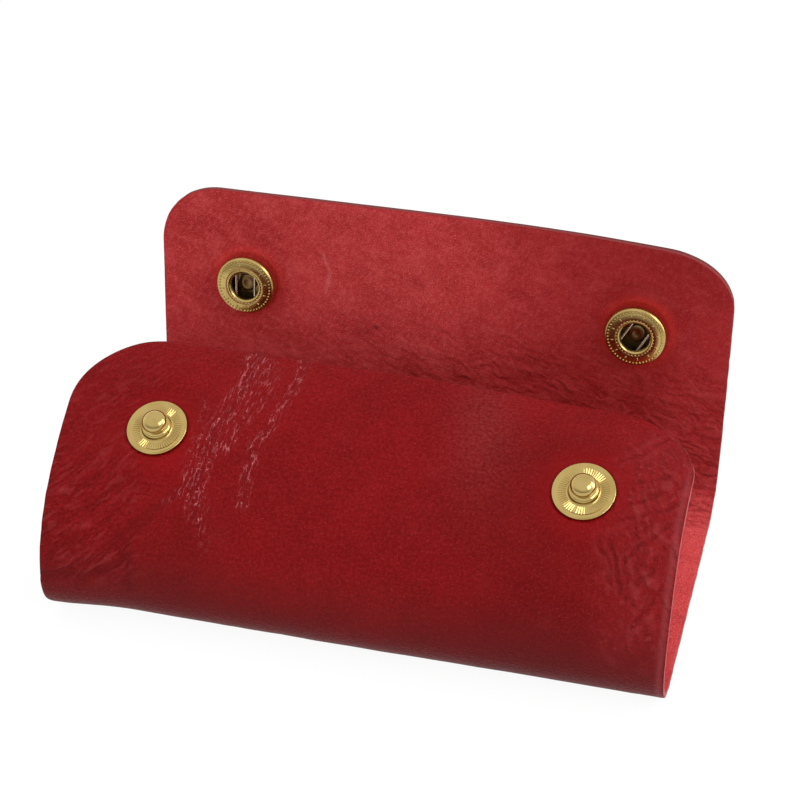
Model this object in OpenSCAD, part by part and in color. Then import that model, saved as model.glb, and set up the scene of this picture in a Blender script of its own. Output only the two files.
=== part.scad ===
// Leather key case: one sheet folded in three, closed by two snap fasteners,
// with four sprung key hooks on a bar inside.
// X runs along the case, Y to the rear and Z up. The origin is the middle of
// the back panel's underside, on which the case lies.

/* [Leather] */
// Length of the case along its folds
case_w = 118; // [100:1:140]
// Thickness of the leather
leather_t = 1.2; // [0.9:0.1:1.6]
// Radius of the four free corners
corner_r = 13; // [6:1:16]
// Length of the front flap from its fold to its free edge
front_flap_len = 48; // [44:1:52]
// Length of the top flap from its fold to its free edge
top_flap_len = 46.5; // [43:0.5:50]
// Radius of the front fold at the middle of the leather
front_fold_r = 9; // [7:0.5:11]
// Radius of the rear fold at the middle of the leather
rear_fold_r = 10; // [8:0.5:12]
// Lean of the front flap where it leaves its fold, in degrees from level
front_lean_base = 72; // [66:1:78]
// Lean of the front flap at its free edge
front_lean_edge = 8; // [2:1:14]
// Lean of the top flap
top_lean = 80; // [76:1:86]

/* [Snaps] */
// Distance of the snaps from the case's ends
snap_inset = 18.5; // [16:0.5:23]
// Distance of the studs from the front flap's free edge
stud_inset = 19.5; // [17:0.5:22]
// Distance of the sockets from the top flap's free edge
socket_inset = 20; // [17:0.5:23]
// Radius of a stud's flange
stud_r = 5.75; // [5:0.25:6.5]
// Height of a stud above the leather
stud_h = 4.2; // [3.8:0.1:4.6]
// Radius of a stud's head
head_r = 2.3; // [2:0.1:2.5]
// Radius of a socket
socket_r = 6.1; // [5.5:0.1:7]
// Height of a socket above the leather
socket_h = 3.4; // [3.2:0.1:4]
// Radius of a socket's mouth
mouth_r = 2.85; // [2.7:0.05:3.1]
// Radius of a cap
cap_r = 6.25; // [5.5:0.25:7]
// Height of a cap
cap_h = 1.7; // [1.2:0.1:2.4]
// Radius of the posts that hold the snaps in the leather
post_r = 1.1; // [0.9:0.05:1.2]
// Radius of a stud post's flange
post_flange_r = 4.6; // [3.6:0.1:5.4]
// Thickness of a stud post's flange
post_flange_t = 0.7; // [0.5:0.05:1]
// Depth that a snap is pressed into the leather
press_in = 0.2; // [0.1:0.05:0.3]
// Depth of a stud's head in its socket when the case is closed over it
engaged = 1.1; // [0.6:0.1:1.2]
// Radius of the socket's spring wire
wire_r = 0.25; // [0.2:0.05:0.3]
// Distance of each spring wire from the socket's axis
wire_offset = 2; // [1.9:0.05:2.2]

/* [Key hooks] */
// Distance from one hook to the next
hook_pitch = 7.6; // [7.2:0.1:7.8]
// Length of a hook from the bar to its tip
hook_len = 34; // [28:1:38]
// Height of a hook's loop
hook_h = 7.4; // [7:0.2:8.4]
// Width of a hook's strip
hook_w = 3.2; // [2.8:0.1:3.4]
// Thickness of a hook's strip
hook_t = 1.1; // [0.8:0.1:1.3]
// Length of the nose that the tongue closes against
nose_len = 5; // [4:0.5:7]
// Radius of the bar
bar_r = 1; // [0.8:0.1:1.2]
// Wall of the hook eyes round the bar
eye_wall = 1.1; // [0.9:0.1:1.3]
// Thickness of the spring tongues
tongue_t = 0.5; // [0.4:0.1:0.8]
// Width of a tongue's strip
tongue_w = 2.4; // [2:0.2:2.8]
// Width of a tongue's eye on the bar
tongue_eye_w = 1.1; // [0.9:0.1:1.3]
// Distance of the bar from the case's end
bar_inset = 13; // [11:0.5:18]
// Distance of the hooks' middle line from the front fold
hook_row_inset = 17.7; // [17:0.1:18.2]
// Width of the key plate along the case
plate_w = 8.5; // [7:0.5:10]
// Thickness of the key plate
plate_t = 0.8; // [0.6:0.1:1.2]
// Radius of a rivet's shank
rivet_r = 1; // [0.8:0.1:1.3]
// Radius of a rivet's head and of its cap
rivet_head_r = 2.4; // [1.8:0.1:2.8]
// Height of a rivet's head
rivet_head_h = 0.9; // [0.6:0.1:1.3]
// Distance between the two rivets
rivet_pitch = 26; // [22:1:28]

/* [Fits] */
// Clearance round posts, rivets and the fixed bar
fit_gap = 0.05; // [0.03:0.01:0.1]
// Running clearance of the hooks on the bar and beside each other
run_gap = 0.1; // [0.06:0.02:0.1]
// Clearance of the hooks over the leather
lie_gap = 0.3; // [0.2:0.05:0.5]

/* [Hidden] */
$fn = 96;
// Overrun of every cut past the surface that it opens
over = 1;

leather_red = [0.52, 0.1, 0.12];
flesh_red = [0.62, 0.2, 0.21];
brass = [0.76, 0.68, 0.42];
steel = [0.72, 0.72, 0.7];

// Unit vectors in the case's cross-section, [Y, Z]: along a sheet that leans
// at an angle, and across it towards the viewer
function along(a) = [cos(a), sin(a)];
function across(a) = [-sin(a), cos(a)];

// Distance between the two snaps
snap_pitch = case_w - 2 * snap_inset;

// Places of the folds' pivots, as shares of the fold radii
press_pivot_share = 0.55;
top_pivot_share = 0.6;

// Front fold and flap, measured from the fold's start on the back panel
front_centre = [0, front_fold_r];
flap_start = front_centre + front_fold_r * across(front_lean_base);
flap_sweep = front_lean_base - front_lean_edge;
flap_bend_r = front_flap_len * 180 / PI / flap_sweep;
flap_centre = flap_start - flap_bend_r * across(front_lean_base);
stud_lean = front_lean_edge + flap_sweep * stud_inset / front_flap_len;
stud_at = flap_centre + flap_bend_r * across(stud_lean);
press_pivot = front_centre + press_pivot_share * (flap_start - front_centre);
open_pivot = front_centre + front_fold_r * across((180 + front_lean_base) / 2);

// Rear fold and top flap, measured from the fold's start on the back panel
rear_centre = [0, rear_fold_r];
top_start = rear_centre - rear_fold_r * across(top_lean);
socket_at = top_start + (top_flap_len - socket_inset) * along(top_lean);
top_pivot = rear_centre - top_pivot_share * rear_fold_r * across(top_lean / 2);

// The back panel is as deep as lets the sockets meet the studs: both flaps are
// turned about their pivots until the two snap faces lie parallel
snap_stack = leather_t - 2 * press_in + stud_h + socket_h - engaged;
stud_arm = stud_at - press_pivot;
socket_arm = socket_at - top_pivot;
reach_along = stud_arm * along(stud_lean) + socket_arm * along(top_lean);
reach_across = stud_arm * across(stud_lean) + socket_arm * across(top_lean) + snap_stack;
pivot_rise = top_pivot[1] - press_pivot[1];
pivot_run = sqrt(reach_along * reach_along + reach_across * reach_across - pivot_rise * pivot_rise);
panel_d = pivot_run + press_pivot[0] - top_pivot[0];
closed_lean = atan2(pivot_rise, pivot_run) - atan2(reach_across, reach_along);

// The folds' starts in the case's own frame
mid_z = leather_t / 2;
front_edge = [-panel_d / 2, mid_z];
rear_edge = [panel_d / 2, mid_z];

// Key hooks, with the bar over the back panel
eye_bore_r = bar_r + run_gap;
eye_r = eye_bore_r + eye_wall;
bar_x = -case_w / 2 + bar_inset;
bar_z = leather_t + lie_gap + eye_r;
knuckle_r = bar_r + fit_gap + plate_t;
plate_x = bar_x - eye_r - run_gap - plate_w;
hook_floor = -eye_r;
hook_roof = hook_floor + hook_h;
bend_r = hook_h / 2;
bend_x = hook_len - bend_r;
eye_w = hook_w - tongue_eye_w - run_gap;
hook_count = 4;
knuckle_w = hook_pitch - hook_w - 2 * run_gap;
bar_len = hook_count * hook_pitch + knuckle_w;
hook_row_y = hook_row_inset - panel_d / 2;
plate_mid = [plate_x + plate_w / 2, hook_row_y];
rivet_cap_t = leather_t / 3;

// Depth of the panel, and the joints' places and turns, for whoever sets them up
echo(panel_d = panel_d, closed_lean = closed_lean, stud_lean = stud_lean);
echo(press_turn = stud_lean - closed_lean, top_turn = 180 + closed_lean - top_lean);
echo(press_pivot = front_edge + press_pivot, open_pivot = front_edge + open_pivot);
echo(top_pivot = rear_edge + top_pivot, bar = [bar_x, bar_z], hook_ys = [for (n = [1:hook_count]) hook_y(n)]);
echo(stud_at = front_edge + stud_at, socket_at = rear_edge + socket_at);

// Leather bent round a centre, from one angle to another. The angles are
// counted round the centre from straight down, towards the rear. A sheet that
// is trimmed afterwards has something to spare at both ends
module curved_sheet(centre, radius, from_angle, to_angle, spare = 0) {
    translate([-case_w / 2 - spare, centre[0], centre[1]])
        rotate([0, 90, 0])
            rotate([0, 0, from_angle])
                rotate_extrude(angle = to_angle - from_angle)
                    translate([radius - leather_t / 2, 0])
                        square([leather_t, case_w + 2 * spare]);
}

// Places children on a sheet: local Y runs along the sheet, local Z points
// away from its middle surface, to the side that carries the snap
module on_sheet(x, at, lean) {
    translate([x, at[0], at[1]])
        rotate([lean, 0, 0])
            children();
}

// The sharp corner outside a rounded one whose edges end at the origin
module corner_waste() {
    difference() {
        translate([-corner_r, -corner_r])
            square([corner_r + over, corner_r + over]);
        translate([-corner_r, -corner_r])
            circle(r = corner_r);
    }
}

// Flat shape of a flap, with its free edge and rounded corners at the origin
module flap_outline(length) {
    difference() {
        translate([-case_w / 2, -length])
            square([case_w, length]);
        for (side = [0, 1])
            mirror([side, 0])
                translate([case_w / 2, 0])
                    corner_waste();
    }
}

module post_hole() {
    translate([0, 0, -leather_t - over])
        cylinder(r = post_r + fit_gap, h = 2 * (leather_t + over));
}

// A flat seat pressed into one side of the leather
module seat(radius, side) {
    depth = leather_t / 2 - press_in;
    translate([0, 0, side > 0 ? depth : -depth - over])
        cylinder(r = radius + fit_gap, h = over);
}

module back_panel() {
    color(leather_red)
        difference() {
            translate([-case_w / 2, -panel_d / 2, 0])
                cube([case_w, panel_d, leather_t]);
            for (side = [-1, 1])
                translate([plate_mid[0], plate_mid[1] + side * rivet_pitch / 2, 0]) {
                    translate([0, 0, -over])
                        cylinder(r = rivet_r + fit_gap, h = leather_t + 2 * over);
                    translate([0, 0, -over])
                        cylinder(r = rivet_head_r + fit_gap, h = rivet_cap_t + over);
                }
        }
}

module front_fold() {
    color(leather_red)
        curved_sheet(front_edge + front_centre, front_fold_r, 360, 180 + front_lean_base);
}

module front_flap() {
    free_edge = front_edge + flap_centre + flap_bend_r * across(front_lean_edge);
    spare_turn = over / flap_bend_r * 180 / PI;
    color(leather_red)
        difference() {
            intersection() {
                curved_sheet(
                    front_edge + flap_centre, flap_bend_r,
                    180 + front_lean_base, 180 + front_lean_edge - spare_turn, over
                );
                on_sheet(0, free_edge, front_lean_edge)
                    translate([0, 0, -front_flap_len])
                        linear_extrude(2 * front_flap_len)
                            flap_outline(front_flap_len);
            }
            for (side = [-1, 1])
                on_sheet(side * snap_pitch / 2, front_edge + stud_at, stud_lean) {
                    post_hole();
                    seat(stud_r, 1);
                    seat(post_flange_r, -1);
                }
        }
}

module rear_fold() {
    color(flesh_red)
        curved_sheet(rear_edge + rear_centre, rear_fold_r, 0, top_lean);
}

module top_flap() {
    color(flesh_red)
        difference() {
            on_sheet(0, rear_edge + top_start, top_lean)
                translate([0, top_flap_len, -leather_t / 2])
                    linear_extrude(leather_t)
                        flap_outline(top_flap_len);
            for (side = [-1, 1])
                on_sheet(side * snap_pitch / 2, rear_edge + socket_at, top_lean) {
                    post_hole();
                    seat(socket_r, 1);
                    seat(cap_r, -1);
                }
        }
}

// Stud: a dished flange with a raised rim, a collar, a neck and a ball head,
// as shares of the flange's radius, the head's radius and the stud's height
flange_shares = [[0, 0], [1, 0], [1, 0.17], [0.96, 0.22], [0.9, 0.14], [0.56, 0.11], [0.5, 0.2]];
head_shares = [
    [1.1, 0.36], [0.84, 0.42], [0.8, 0.5], [0.9, 0.57], [1, 0.68], [0.98, 0.8],
    [0.84, 0.91], [0.6, 0.975], [0.3, 1], [0, 1]
];

module stud() {
    bore_share = 0.75;
    color(brass)
        difference() {
            rotate_extrude()
                polygon(concat(
                    [for (p = flange_shares) [p[0] * stud_r, p[1] * stud_h]],
                    [for (p = head_shares) [p[0] * head_r, p[1] * stud_h]]
                ));
            translate([0, 0, -over])
                cylinder(r = post_r + fit_gap, h = over + bore_share * stud_h);
        }
}

// Post that clenches a stud from the flesh side
module stud_post() {
    grip = leather_t - 2 * press_in;
    reach_share = 0.7;
    color(brass) {
        translate([0, 0, -grip - post_flange_t])
            cylinder(r = post_flange_r, h = post_flange_t);
        translate([0, 0, -grip - post_flange_t / 2])
            cylinder(r = post_r, h = grip + post_flange_t / 2 + reach_share * stud_h);
    }
}

// Socket: a drum with a round mouth, a groove for the wires and a post hole
socket_base_t = 0.6;
mouth_t = 0.8;
groove_r = 4.5;

module socket() {
    rim_r = 0.5;
    color(brass)
        difference() {
            union() {
                cylinder(r = socket_r, h = socket_h - rim_r);
                cylinder(r = socket_r - rim_r, h = socket_h);
                translate([0, 0, socket_h - rim_r])
                    rotate_extrude()
                        translate([socket_r - rim_r, 0])
                            circle(r = rim_r);
            }
            translate([0, 0, socket_base_t])
                cylinder(r = groove_r, h = socket_h - socket_base_t - mouth_t);
            translate([0, 0, socket_base_t])
                cylinder(r = mouth_r, h = socket_h);
            translate([0, 0, -over])
                cylinder(r = post_r + fit_gap, h = socket_h);
        }
}

// Two parallel spring wires that lie in the groove, under the mouth
module socket_spring(turn) {
    wire_z = socket_h - mouth_t - wire_r - fit_gap;
    wire_len = 2 * sqrt((groove_r - fit_gap) ^ 2 - (wire_offset + wire_r) ^ 2);
    color(steel)
        rotate([0, 0, turn])
            for (side = [-1, 1])
                translate([0, side * wire_offset, wire_z])
                    rotate([0, 90, 0])
                        cylinder(r = wire_r, h = wire_len, center = true);
}

// Cap: a domed disc outside the top flap, with the post that is flared in the socket
cap_shares = [[0, 0], [1, 0], [1, 0.3], [0.93, 0.62], [0.75, 0.84], [0.45, 0.96], [0, 1]];

module cap() {
    grip = leather_t - 2 * press_in;
    flare_r = 1.9;
    flare_t = 0.4;
    flare_z = socket_base_t + fit_gap;
    color(brass) {
        translate([0, 0, -grip])
            mirror([0, 0, 1])
                rotate_extrude()
                    polygon([for (p = cap_shares) [p[0] * cap_r, p[1] * cap_h]]);
        translate([0, 0, -grip - cap_h / 2])
            cylinder(r = post_r, h = grip + cap_h / 2 + flare_z + flare_t);
        translate([0, 0, flare_z])
            cylinder(r = flare_r, h = flare_t);
    }
}

module at_stud(side) {
    on_sheet(side * snap_pitch / 2, front_edge + stud_at, stud_lean)
        translate([0, 0, leather_t / 2 - press_in])
            children();
}

module at_socket(side) {
    on_sheet(side * snap_pitch / 2, rear_edge + socket_at, top_lean)
        translate([0, 0, leather_t / 2 - press_in])
            children();
}

// Turn of the right socket's wires against the left one's
left_wire_turn = 90;
right_wire_turn = 60;

// Places of the hooks across the case, the first nearest the front
function hook_y(n) = (n - (hook_count + 1) / 2) * hook_pitch + hook_row_y;

// Plate with knuckles that hold the bar between the hooks
module key_plate() {
    color(brass)
        difference() {
            union() {
                translate([plate_x, plate_mid[1] - bar_len / 2, leather_t])
                    cube([plate_w, bar_len, plate_t]);
                for (n = [0:hook_count])
                    translate([bar_x, hook_y(n + 0.5) + knuckle_w / 2, bar_z])
                        rotate([90, 0, 0])
                            linear_extrude(knuckle_w)
                                knuckle_outline();
            }
            translate([bar_x, plate_mid[1] + bar_len, bar_z])
                rotate([90, 0, 0])
                    cylinder(r = bar_r + fit_gap, h = 2 * bar_len);
            for (side = [-1, 1])
                translate([plate_mid[0], plate_mid[1] + side * rivet_pitch / 2, leather_t - over])
                    cylinder(r = rivet_r + fit_gap, h = plate_t + 2 * over);
        }
}

// Outline of a knuckle, from the plate's edge up and round the bar
module knuckle_outline() {
    floor_z = leather_t - bar_z;
    foot_x = plate_x + plate_w - plate_t - bar_x;
    circle(r = knuckle_r);
    translate([-knuckle_r, floor_z])
        square([plate_t, -floor_z]);
    translate([foot_x, floor_z])
        square([plate_t - knuckle_r - foot_x, plate_t]);
}

module hook_bar() {
    color(brass)
        translate([bar_x, plate_mid[1] + bar_len / 2, bar_z])
            rotate([90, 0, 0])
                cylinder(r = bar_r, h = bar_len);
}

// Tubular rivet: head on the plate, shank, and a cap let into the back panel
module rivet(side) {
    head_shares_r = [[0, 0], [1, 0], [0.94, 0.45], [0.7, 0.82], [0.35, 1], [0, 1]];
    color(brass)
        translate([plate_mid[0], plate_mid[1] + side * rivet_pitch / 2, 0]) {
            translate([0, 0, leather_t + plate_t])
                rotate_extrude()
                    polygon([for (p = head_shares_r) [p[0] * rivet_head_r, p[1] * rivet_head_h]]);
            translate([0, 0, rivet_cap_t / 2])
                cylinder(r = rivet_r, h = leather_t + plate_t + rivet_head_h / 2 - rivet_cap_t / 2);
            translate([0, 0, fit_gap])
                cylinder(r = rivet_head_r, h = rivet_cap_t - fit_gap);
        }
}

// Hook: a strip bent to an eye on the bar, a long floor, a round end and a nose
module key_hook(n) {
    color(brass)
        translate([bar_x, hook_y(n), bar_z]) {
            translate([0, hook_w / 2, 0])
                rotate([90, 0, 0])
                    linear_extrude(hook_w)
                        difference() {
                            hook_outline();
                            circle(r = eye_r + run_gap);
                        }
            translate([0, -hook_w / 2 + eye_w, 0])
                rotate([90, 0, 0])
                    linear_extrude(eye_w)
                        difference() {
                            union() {
                                circle(r = eye_r);
                                translate([0, hook_floor])
                                    square([2 * eye_r, hook_t]);
                            }
                            circle(r = eye_bore_r);
                        }
        }
}

module hook_outline() {
    translate([0, hook_floor])
        square([bend_x, hook_t]);
    translate([bend_x, hook_floor + bend_r])
        intersection() {
            difference() {
                circle(r = bend_r);
                circle(r = bend_r - hook_t);
            }
            translate([0, -hook_h])
                square([hook_h, 2 * hook_h]);
        }
    translate([bend_x - nose_len, hook_roof - hook_t])
        square([nose_len, hook_t]);
    translate([bend_x - nose_len, hook_roof - hook_t / 2])
        circle(r = hook_t / 2);
}

// Spring tongue: its own eye beside the hook's, and a strip up to the nose
module hook_tongue(n) {
    tip_x = bend_x - nose_len + hook_t;
    tip_z = hook_roof - hook_t - run_gap;
    root_z = eye_r - tongue_t;
    color(steel)
        translate([bar_x, hook_y(n), bar_z]) {
            translate([0, hook_w / 2, 0])
                rotate([90, 0, 0])
                    linear_extrude(tongue_eye_w)
                        difference() {
                            union() {
                                circle(r = eye_r);
                                translate([0, root_z])
                                    square([2 * eye_r, tongue_t]);
                            }
                            circle(r = eye_bore_r);
                        }
            translate([0, hook_w / 2, 0])
                rotate([90, 0, 0])
                    linear_extrude(tongue_w)
                        polygon([
                            [eye_r + run_gap, root_z],
                            [tip_x, tip_z - tongue_t],
                            [tip_x, tip_z],
                            [eye_r + run_gap, eye_r]
                        ]);
        }
}

back_panel();
front_fold();
front_flap();
rear_fold();
top_flap();
at_stud(-1) stud();  // left_stud
at_stud(1) stud();  // right_stud
at_stud(-1) stud_post();  // left_stud_post
at_stud(1) stud_post();  // right_stud_post
at_socket(-1) socket();  // left_socket
at_socket(1) socket();  // right_socket
at_socket(-1) socket_spring(left_wire_turn);  // left_socket_spring
at_socket(1) socket_spring(right_wire_turn);  // right_socket_spring
at_socket(-1) cap();  // left_cap
at_socket(1) cap();  // right_cap
key_plate();
hook_bar();
rivet(-1);  // front_rivet
rivet(1);  // rear_rivet
key_hook(1);  // key_hook_1
key_hook(2);  // key_hook_2
key_hook(3);  // key_hook_3
key_hook(4);  // key_hook_4
hook_tongue(1);  // hook_tongue_1
hook_tongue(2);  // hook_tongue_2
hook_tongue(3);  // hook_tongue_3
hook_tongue(4);  // hook_tongue_4
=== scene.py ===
"""Leather key case, folded in three and standing open, with its snaps and key hooks."""
import math

import bpy
import numpy as np
from mathutils import Matrix, Vector


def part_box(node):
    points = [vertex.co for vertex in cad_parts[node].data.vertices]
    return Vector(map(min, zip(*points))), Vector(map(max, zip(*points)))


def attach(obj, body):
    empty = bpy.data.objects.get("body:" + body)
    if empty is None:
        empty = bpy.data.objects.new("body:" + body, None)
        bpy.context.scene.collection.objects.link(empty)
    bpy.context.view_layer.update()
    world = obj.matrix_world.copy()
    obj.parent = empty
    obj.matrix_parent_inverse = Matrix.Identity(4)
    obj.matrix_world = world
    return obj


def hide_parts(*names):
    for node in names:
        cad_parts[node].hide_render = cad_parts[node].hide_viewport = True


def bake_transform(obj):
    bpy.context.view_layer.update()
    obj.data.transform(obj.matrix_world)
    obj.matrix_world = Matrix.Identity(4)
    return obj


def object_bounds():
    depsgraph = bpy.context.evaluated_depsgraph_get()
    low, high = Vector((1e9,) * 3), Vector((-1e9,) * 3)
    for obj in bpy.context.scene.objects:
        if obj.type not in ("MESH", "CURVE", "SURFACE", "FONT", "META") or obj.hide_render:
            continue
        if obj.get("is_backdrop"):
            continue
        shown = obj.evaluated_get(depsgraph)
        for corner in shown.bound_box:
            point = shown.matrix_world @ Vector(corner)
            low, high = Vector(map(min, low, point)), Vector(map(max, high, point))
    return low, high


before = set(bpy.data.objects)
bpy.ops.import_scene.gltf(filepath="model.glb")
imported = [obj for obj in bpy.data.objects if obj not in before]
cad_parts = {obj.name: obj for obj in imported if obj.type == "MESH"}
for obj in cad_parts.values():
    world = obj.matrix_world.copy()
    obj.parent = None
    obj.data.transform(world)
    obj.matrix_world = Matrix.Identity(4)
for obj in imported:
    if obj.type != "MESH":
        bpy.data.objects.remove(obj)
cad_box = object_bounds()
scene = bpy.context.scene
MM = 0.001

# Camera: the photograph's viewpoint, in front of the case, above it and a little to
# its right. The angles come from fitting the places of the snaps and of the edges.
view_turn, view_rise, view_roll = (math.radians(a) for a in (16.33, 35.48, -1.56))
view_distance, view_right, view_up = 400, 7.66, 43.64
focal_px, frame_px, sensor_w = 2117, 800, 36
panel_low, panel_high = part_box("back_panel")
toward = Vector((
    math.sin(view_turn) * math.cos(view_rise),
    -math.cos(view_turn) * math.cos(view_rise),
    math.sin(view_rise),
))
level = Vector((math.cos(view_turn), math.sin(view_turn), 0))
upright = toward.cross(level)
cam_x = level * math.cos(view_roll) + upright * math.sin(view_roll)
cam_y = upright * math.cos(view_roll) - level * math.sin(view_roll)
front_crease = Vector((0, panel_low.y, panel_high.z / 2))


def in_scene(name, data):
    """A new object that is linked to the scene."""
    made = bpy.data.objects.new(name, data)
    scene.collection.objects.link(made)
    return made


camera = in_scene("camera", bpy.data.cameras.new("camera"))
camera.matrix_world = Matrix.Translation(
    front_crease + (toward * view_distance + cam_x * view_right + cam_y * view_up) * MM
) @ Matrix((cam_x, cam_y, toward)).transposed().to_4x4()
camera.data.sensor_width = sensor_w
camera.data.lens = focal_px / frame_px * sensor_w
camera.data.clip_start, camera.data.clip_end = 0.01, 20
scene.camera = camera

# The sheet: one piece of vegetable-tanned cow leather, cut with four round corners and
# rolled at two folds, never creased. Its grain side is outside and its suede-like flesh
# side inside. Flat places are (x, s) in mm, with s counted from the front free edge.
case_w, leather_t, panel_d = (
    (panel_high.x - panel_low.x) / MM, panel_high.z / MM, (panel_high.y - panel_low.y) / MM
)
corner_r = 13
front_fold_r, front_lean_base, front_lean_edge, front_flap_len = 9, 72, 8, 48
rear_fold_r, top_lean, top_flap_len = 10, 80, 46.5
front_len = math.radians(180 - front_lean_base) * front_fold_r + front_flap_len
rear_start = front_len + panel_d
sheet_len = rear_start + math.radians(top_lean) * rear_fold_r + top_flap_len
snap_x, stud_s, socket_s = 40.5, 19.5, sheet_len - 20
half_w, half_t = case_w / 2, leather_t / 2


def ease(value, low, high):
    """0 below low, 1 above high and a smooth rise between them."""
    t = np.clip((value - low) / (high - low), 0, 1)
    return t * t * (3 - 2 * t)


# Lean of the front flap at points from its fold to its free edge, in degrees, at five
# stations along the case: the left end rolls in a wide bend, the right end in a tight,
# flatter one. The top flap is straight to its snaps and curls forward beyond them.
front_knots = (0, 7.8, 16.96, 27.3, 36, front_len - stud_s, 55, front_len)
stations = (-half_w, -0.7 * half_w, 0, snap_x, half_w)
left_end = (180, 146, 83, 60, 44, 33, 27, 16)
middle_part = (180, 132, 71, 58, 48, 34, 23, 11)
right_snap = (180, 127, 75, 61, 45, 27, 18, -2)
right_end = (180, 127, 74, 66, 50, 18, 4, -2)
curl, curl_right, curl_from = 8, 27, sheet_len - 18
stud_lean = 24

fine_s_count, fine_x_count = 3457, 237
fine_s = np.linspace(0, sheet_len, fine_s_count)
fine_x = np.linspace(-half_w, half_w, fine_x_count)
step_s = fine_s[1] - fine_s[0]
out_from_panel = front_len - fine_s
leans = [
    np.interp(out_from_panel, front_knots, knots)
    for knots in (left_end, middle_part, middle_part, right_snap, right_end)
]
lean = np.zeros((len(fine_x), len(fine_s)))
for low, high, low_lean, high_lean in zip(stations, stations[1:], leans, leans[1:]):
    inside = ((fine_x >= low) & (fine_x <= high))[:, None]
    share = ease(fine_x, low, high)[:, None]
    lean = np.where(inside, low_lean * (1 - share) + high_lean * share, lean)
turned = np.clip((fine_s - rear_start) / rear_fold_r, 0, math.radians(top_lean))
curled = np.radians(curl + curl_right * np.maximum(fine_x / half_w, 0)[:, None] ** 2)
turned = turned + curled * np.maximum(fine_s - curl_from, 0) / (sheet_len - curl_from)
heading = np.where(out_from_panel > 0, np.radians(lean) + math.pi, turned)
halfway = (heading[:, 1:] + heading[:, :-1]) / 2
first = np.searchsorted(fine_s, front_len)


def along_sheet(part, start):
    """Adds up the sheet's steps, so that the panel's front edge is at start."""
    total = np.concatenate([np.zeros((len(fine_x), 1)), np.cumsum(part * step_s, 1)], 1)
    missed = (fine_s[first] - front_len) * part[:, first - 1:first]
    return total - total[:, first:first + 1] + missed + start


sheet_y = along_sheet(np.cos(halfway), -panel_d / 2)
sheet_z = along_sheet(np.sin(halfway), half_t)


def cloud(x, s, size, seed, count=128):
    """Smooth random hills and hollows about size mm apart, from -1 to 1."""
    cells = np.random.default_rng(seed).uniform(-1, 1, (count, count))
    i, j = np.floor(x / size).astype(int), np.floor(s / size).astype(int)
    u, v = ease(x / size - i, 0, 1), ease(s / size - j, 0, 1)
    corner = lambda di, dj: cells[(i + di) % count, (j + dj) % count]
    low = corner(0, 0) * (1 - u) + corner(1, 0) * u
    high = corner(0, 1) * (1 - u) + corner(1, 1) * u
    return low * (1 - v) + high * v


def snap_place(s):
    """Point and heading of the leather's middle where a snap is set, as in the CAD."""
    if s == stud_s:
        sweep = front_lean_base - front_lean_edge
        bend_r = front_flap_len / math.radians(sweep)
        even = math.radians(front_lean_edge + sweep * stud_s / front_flap_len)
        base = math.radians(front_lean_base)
        step_r = front_fold_r - bend_r
        y = -panel_d / 2 - step_r * math.sin(base) - bend_r * math.sin(even)
        z = half_t + front_fold_r + step_r * math.cos(base) + bend_r * math.cos(even)
        return y, z, math.radians(stud_lean) + math.pi
    tilt, reach = math.radians(top_lean), s - rear_start - math.radians(top_lean) * rear_fold_r
    y = panel_d / 2 + rear_fold_r * math.sin(tilt) + reach * math.cos(tilt)
    z = half_t + rear_fold_r * (1 - math.cos(tilt)) + reach * math.sin(tilt)
    return y, z, tilt


# The flaps sway a little, but not near the panel, and the leather is flat round a snap.
still_within, sways_beyond = 4, 22
flat_within, follows_beyond = 6.6, 12


def middle(x, s):
    """The middle of the leather's thickness at flat places, in mm."""
    a = np.clip((x + half_w) / (fine_x[1] - fine_x[0]), 0, len(fine_x) - 1.001)
    b = np.clip(s / step_s, 0, len(fine_s) - 1.001)
    i, j = a.astype(int), b.astype(int)
    u, v = a - i, b - j
    look = lambda table: (
        (table[i, j] * (1 - u) + table[i + 1, j] * u) * (1 - v)
        + (table[i, j + 1] * (1 - u) + table[i + 1, j + 1] * u) * v
    )
    place = np.stack([x, look(sheet_y), look(sheet_z)], -1)
    turn = look(heading)
    outward = np.stack([np.zeros_like(x), np.sin(turn), -np.cos(turn)], -1)
    free = 1 - (
        ease(s, front_len - sways_beyond, front_len - still_within)
        * ease(-s, -rear_start - sways_beyond, -rear_start - still_within))
    sway = 0.3 * cloud(x, s, 31, 3) + 0.1 * cloud(x, s, 13, 4)
    place += outward * (sway * free)[..., None]
    for snap_s in (stud_s, socket_s):
        y, z, snap_turn = snap_place(snap_s)
        for side in (-1, 1):
            reach = np.hypot(x - side * snap_x, s - snap_s)
            firm = (1 - ease(reach, flat_within, follows_beyond))[..., None]
            flat_place = np.stack([
                x, y + (s - snap_s) * math.cos(snap_turn), z + (s - snap_s) * math.sin(snap_turn)
            ], -1)
            place = place * (1 - firm) + flat_place * firm
    return place


# Rows run across the sheet, closer together in the round corners, and columns along it.
corner_count, straight_count, inner_count = 42, 306, 245
edge_insets, inner_gap = np.array((0, 0.2, 0.45, 0.8, 1.2, 1.65)), 0.45
corner_turns = np.linspace(0, math.pi / 2, corner_count)[:-1]
corner_rows = corner_r * (1 - np.cos(corner_turns))
straight_rows = np.linspace(corner_r, sheet_len - corner_r, straight_count)
rows = np.concatenate([corner_rows, straight_rows, sheet_len - corner_rows[::-1]])
inner_columns = np.linspace(
    edge_insets[-1] + inner_gap - half_w, half_w - edge_insets[-1] - inner_gap, inner_count)
columns = np.concatenate([
    edge_insets - half_w, inner_columns, (half_w - edge_insets)[::-1]]) / half_w
from_end = np.minimum(np.minimum(rows, sheet_len - rows), corner_r)
half_widths = half_w - corner_r + np.sqrt(corner_r ** 2 - (corner_r - from_end) ** 2)
flat_x = columns * half_widths[:, None]
flat_s = np.repeat(rows[:, None], len(columns), 1)
row_count, column_count = flat_x.shape

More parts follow.
